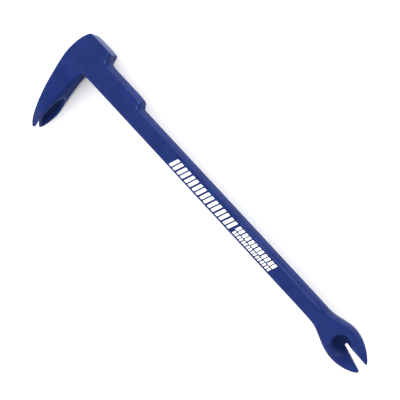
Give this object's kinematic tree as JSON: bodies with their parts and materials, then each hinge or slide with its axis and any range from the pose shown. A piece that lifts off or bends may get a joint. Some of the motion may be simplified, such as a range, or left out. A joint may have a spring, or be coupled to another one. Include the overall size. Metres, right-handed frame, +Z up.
{
  "type": "pry bar",
  "caption": "Forged double-ended pry bar: right-angle hook claw with a striking face at one end, notched round claw at the other, painted blue.",
  "frame": {"origin": "bottom centre of the forging's bounding box, with the bar lying on its side", "axes": "+X along the shank from the hook claw to the round claw, +Y towards the striking face, +Z up, out of the front side that carries the white marks"},
  "size_m": [0.3048, 0.079, 0.0279],
  "materials": {
    "blue_paint": "semi-gloss dark blue enamel over forged steel",
    "white_ink": "satin white printing ink on the enamel"
  },
  "bodies": {
    "root": {"forged_bar": "blue_paint", "ink_block_01": "white_ink", "ink_block_02": "white_ink", "ink_block_03": "white_ink", "ink_block_04": "white_ink", "ink_block_05": "white_ink", "ink_block_06": "white_ink", "ink_block_07": "white_ink", "ink_block_08": "white_ink", "ink_dash_upper_01": "white_ink", "ink_dash_upper_02": "white_ink", "ink_dash_upper_03": "white_ink", "ink_dash_upper_04": "white_ink", "ink_dash_upper_05": "white_ink", "ink_dash_upper_06": "white_ink", "ink_dash_lower_01": "white_ink", "ink_dash_lower_02": "white_ink", "ink_dash_lower_03": "white_ink", "ink_dash_lower_04": "white_ink", "ink_dash_lower_05": "white_ink", "ink_dash_lower_06": "white_ink", "ink_dash_lower_07": "white_ink", "ink_dash_lower_08": "white_ink"}
  },
  "joints": []
}
